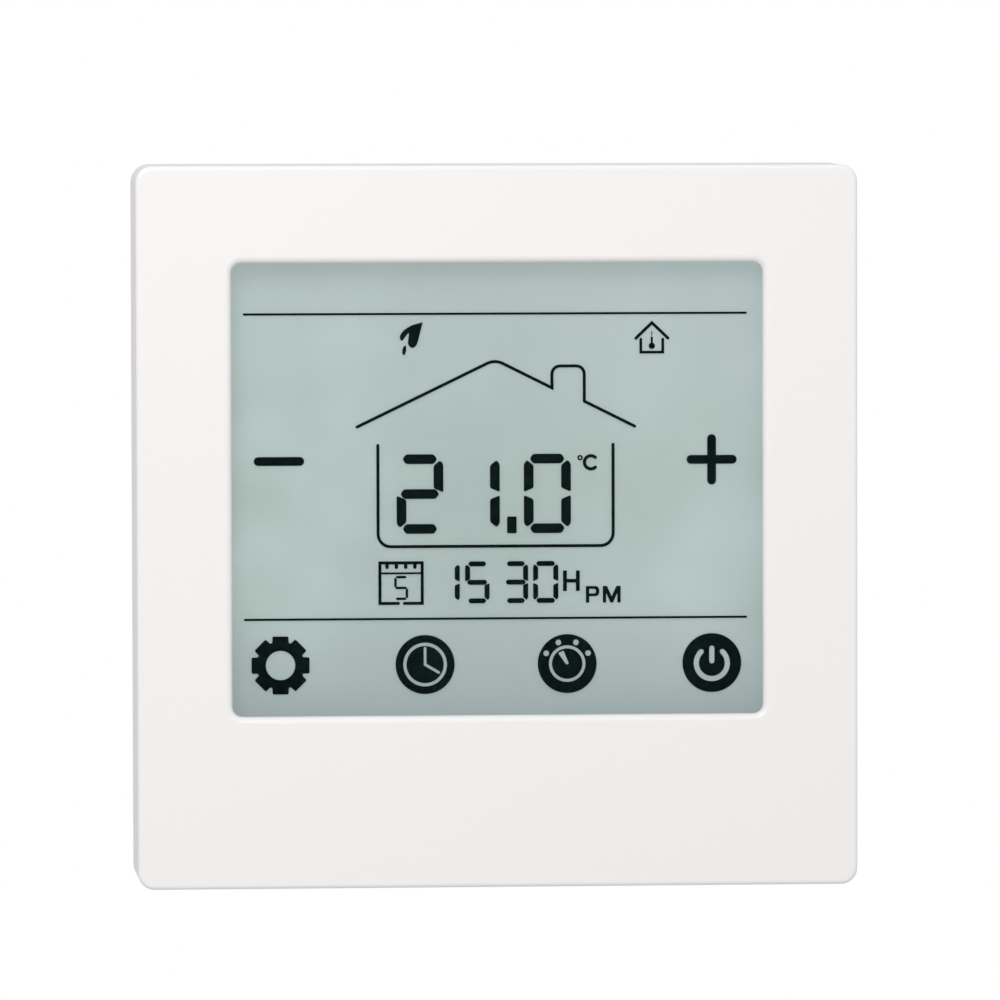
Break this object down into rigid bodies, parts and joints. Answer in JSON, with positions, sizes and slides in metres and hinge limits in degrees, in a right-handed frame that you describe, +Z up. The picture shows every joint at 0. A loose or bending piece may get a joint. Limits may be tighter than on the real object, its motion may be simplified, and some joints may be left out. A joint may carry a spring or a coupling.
{
  "type": "programmable heating timer",
  "caption": "Wall-mounted programmable room timer: glossy square front with a recessed touch display, pull-off front unit, steel wall plate, and a stepped power box with screw terminals behind.",
  "frame": {"origin": "middle of the wall plate's back face, midway between the two wall-screw slots, on the wall's surface", "axes": "+X to the right as a person facing the timer sees it, +Y into the wall, +Z up; the display faces -Y"},
  "size_m": [0.086, 0.043, 0.086],
  "materials": {
    "frame_gloss": "polished white",
    "back_matte": "fine texture",
    "zinc_steel": "zinc plated",
    "touch_glass": "clear",
    "gasket_foam": "foam",
    "clear_polariser": "clear film",
    "cell_glass": "clear",
    "display_ground": "grey-green film",
    "white_film": "white film",
    "guide_acrylic": "dotted acrylic",
    "holder_plastic": "moulded",
    "led_resin": "moulded",
    "strip_rubber": "layered silicone",
    "flex_film": "amber film",
    "board_laminate": "solder mask",
    "chip_epoxy": "moulded epoxy",
    "can_steel": "bright",
    "dark_plastic": "moulded",
    "sensor_resin": "dipped bead",
    "contact_brass": "bright",
    "galvanised_steel": "galvanised",
    "box_plastic": "fine texture",
    "terminal_plastic": "moulded",
    "relay_plastic": "moulded",
    "coil_copper": "enamelled wire",
    "relay_iron": "nickel plated",
    "ferrite": "ground ferrite",
    "winding_tape": "polyester tape",
    "can_sleeve": "shrink sleeve",
    "film_cap_resin": "moulded",
    "varistor_resin": "dipped",
    "cage_steel": "plated"
  },
  "bodies": {
    "wall_unit": {"wall_plate": "galvanised_steel", "power_box": "box_plastic", "box_screws": "zinc_steel", "power_board": "board_laminate", "board_socket": "dark_plastic", "terminal_block": "terminal_plastic", "terminal_tongues": "contact_brass", "relay_base": "dark_plastic", "relay_case": "relay_plastic", "relay_coil_former": "box_plastic", "relay_winding": "coil_copper", "relay_iron": "relay_iron", "relay_contacts": "contact_brass", "transformer_core": "ferrite", "transformer_winding": "winding_tape", "capacitors": "can_sleeve", "film_capacitor": "film_cap_resin", "varistor": "varistor_resin", "fuse_link": "dark_plastic"},
    "front_unit": {"front_frame": "frame_gloss", "frame_back": "back_matte", "cover_screws": "zinc_steel", "touch_panel": "touch_glass", "display_gasket": "gasket_foam", "front_polariser": "clear_polariser", "lcd_front_glass": "cell_glass", "lcd_rear_glass": "cell_glass", "rear_polariser": "display_ground", "diffuser_film": "white_film", "light_guide": "guide_acrylic", "reflector_film": "white_film", "lcd_holder": "holder_plastic", "backlight_leds": "led_resin", "contact_strips": "strip_rubber", "touch_flex": "flex_film", "control_board": "board_laminate", "microcontroller": "chip_epoxy", "lcd_driver": "chip_epoxy", "crystal": "can_steel", "backup_cell": "can_steel", "cell_clip": "can_steel", "sounder": "dark_plastic", "room_sensor": "sensor_resin", "small_parts": "chip_epoxy", "pin_header": "dark_plastic", "header_pins": "contact_brass"},
    "relay_armature": {"relay_armature": "relay_iron"},
    "terminal_screw_1": {"terminal_screw_1": "zinc_steel"},
    "clamp_cage_1": {"clamp_cage_1": "cage_steel"},
    "terminal_screw_2": {"terminal_screw_2": "zinc_steel"},
    "clamp_cage_2": {"clamp_cage_2": "cage_steel"},
    "terminal_screw_3": {"terminal_screw_3": "zinc_steel"},
    "clamp_cage_3": {"clamp_cage_3": "cage_steel"},
    "terminal_screw_4": {"terminal_screw_4": "zinc_steel"},
    "clamp_cage_4": {"clamp_cage_4": "cage_steel"},
    "terminal_screw_5": {"terminal_screw_5": "zinc_steel"},
    "clamp_cage_5": {"clamp_cage_5": "cage_steel"},
    "terminal_screw_6": {"terminal_screw_6": "zinc_steel"},
    "clamp_cage_6": {"clamp_cage_6": "cage_steel"}
  },
  "joints": [
    {"name": "front_pull_off", "type": "slide", "parent": "wall_unit", "child": "front_unit", "axis": [0, -1, 0], "range_m": [0, 0.04]},
    {"name": "relay_hinge", "type": "hinge", "parent": "wall_unit", "child": "relay_armature", "pos_m": [-0.00376, 0.0095, -0.0066], "axis": [0, 0, 1], "range_deg": [0, 3], "stiffness_Nm_per_rad": 0.02, "springref_deg": -2.86},
    {"name": "screw_turn_1", "type": "hinge", "parent": "wall_unit", "child": "terminal_screw_1", "pos_m": [-0.0125, 0.0189, -0.02195], "axis": [0, -1, 0], "range_deg": [0, 1908]},
    {"name": "cage_rise_1", "type": "slide", "parent": "wall_unit", "child": "clamp_cage_1", "axis": [0, 1, 0], "range_m": [0, 0.00238]},
    {"name": "screw_turn_2", "type": "hinge", "parent": "wall_unit", "child": "terminal_screw_2", "pos_m": [-0.0075, 0.0189, -0.02195], "axis": [0, -1, 0], "range_deg": [0, 1908]},
    {"name": "cage_rise_2", "type": "slide", "parent": "wall_unit", "child": "clamp_cage_2", "axis": [0, 1, 0], "range_m": [0, 0.00238]},
    {"name": "screw_turn_3", "type": "hinge", "parent": "wall_unit", "child": "terminal_screw_3", "pos_m": [-0.0025, 0.0189, -0.02195], "axis": [0, -1, 0], "range_deg": [0, 1908]},
    {"name": "cage_rise_3", "type": "slide", "parent": "wall_unit", "child": "clamp_cage_3", "axis": [0, 1, 0], "range_m": [0, 0.00238]},
    {"name": "screw_turn_4", "type": "hinge", "parent": "wall_unit", "child": "terminal_screw_4", "pos_m": [0.0025, 0.0189, -0.02195], "axis": [0, -1, 0], "range_deg": [0, 1908]},
    {"name": "cage_rise_4", "type": "slide", "parent": "wall_unit", "child": "clamp_cage_4", "axis": [0, 1, 0], "range_m": [0, 0.00238]},
    {"name": "screw_turn_5", "type": "hinge", "parent": "wall_unit", "child": "terminal_screw_5", "pos_m": [0.0075, 0.0189, -0.02195], "axis": [0, -1, 0], "range_deg": [0, 1908]},
    {"name": "cage_rise_5", "type": "slide", "parent": "wall_unit", "child": "clamp_cage_5", "axis": [0, 1, 0], "range_m": [0, 0.00238]},
    {"name": "screw_turn_6", "type": "hinge", "parent": "wall_unit", "child": "terminal_screw_6", "pos_m": [0.0125, 0.0189, -0.02195], "axis": [0, -1, 0], "range_deg": [0, 1908]},
    {"name": "cage_rise_6", "type": "slide", "parent": "wall_unit", "child": "clamp_cage_6", "axis": [0, 1, 0], "range_m": [0, 0.00238]}
  ],
  "couplings": [
    {"joint": "screw_turn_1", "follows": "cage_rise_1", "rad_per_m": 13963},
    {"joint": "screw_turn_2", "follows": "cage_rise_2", "rad_per_m": 13963},
    {"joint": "screw_turn_3", "follows": "cage_rise_3", "rad_per_m": 13963},
    {"joint": "screw_turn_4", "follows": "cage_rise_4", "rad_per_m": 13963},
    {"joint": "screw_turn_5", "follows": "cage_rise_5", "rad_per_m": 13963},
    {"joint": "screw_turn_6", "follows": "cage_rise_6", "rad_per_m": 13963}
  ]
}
